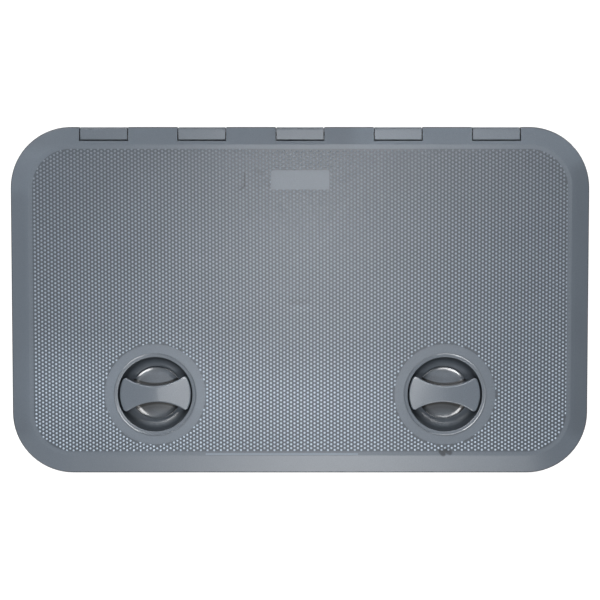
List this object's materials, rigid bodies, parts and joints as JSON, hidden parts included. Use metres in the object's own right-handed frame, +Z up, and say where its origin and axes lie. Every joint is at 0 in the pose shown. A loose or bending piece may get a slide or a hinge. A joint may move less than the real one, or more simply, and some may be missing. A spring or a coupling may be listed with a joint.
{
  "type": "access hatch",
  "caption": "Flush deck access hatch: a frame to be set in a cut-out, a hinged lid with a raised non-slip field, and turning latches in round pockets.",
  "frame": {"origin": "middle of the screw pattern on the deck plane, which is the underside of the flange", "axes": "+X along the hinge, +Y to the hinge side, +Z up out of the deck"},
  "size_m": [0.6, 0.36, 0.0533],
  "materials": {
    "lid_plastic": "grained, faintly weathered",
    "frame_plastic": "grained",
    "latch_plastic": "satin",
    "dark_nylon": "satin",
    "white_nylon": "satin",
    "seal_rubber": "matte",
    "stainless": "turned"
  },
  "bodies": {
    "frame": {"frame": "frame_plastic", "hinge_pin": "stainless"},
    "lid": {"lid": "lid_plastic", "lid_gasket": "seal_rubber", "hinge_pin_plug": "frame_plastic", "left_latch_cup": "latch_plastic", "left_cup_seal": "seal_rubber", "left_cup_nut": "dark_nylon", "right_latch_cup": "latch_plastic", "right_cup_seal": "seal_rubber", "right_cup_nut": "dark_nylon"},
    "left_latch": {"left_handle": "latch_plastic", "left_latch_arm": "dark_nylon", "left_arm_screw": "stainless", "left_arm_washer": "stainless", "left_o_ring": "seal_rubber", "left_thrust_washer": "white_nylon"},
    "right_latch": {"right_handle": "latch_plastic", "right_latch_arm": "dark_nylon", "right_arm_screw": "stainless", "right_arm_washer": "stainless", "right_o_ring": "seal_rubber", "right_thrust_washer": "white_nylon"}
  },
  "joints": [
    {"name": "lid_hinge", "type": "hinge", "parent": "frame", "child": "lid", "pos_m": [0, 0.173, 0.0115], "axis": [-1, 0, 0], "range_deg": [0, 180]},
    {"name": "left_latch_turn", "type": "hinge", "parent": "lid", "child": "left_latch", "pos_m": [-0.1508, -0.0973, 0], "axis": [0, 0, 1], "range_deg": [0, 90]},
    {"name": "right_latch_turn", "type": "hinge", "parent": "lid", "child": "right_latch", "pos_m": [0.1508, -0.0973, 0], "axis": [0, 0, -1], "range_deg": [0, 90]}
  ]
}
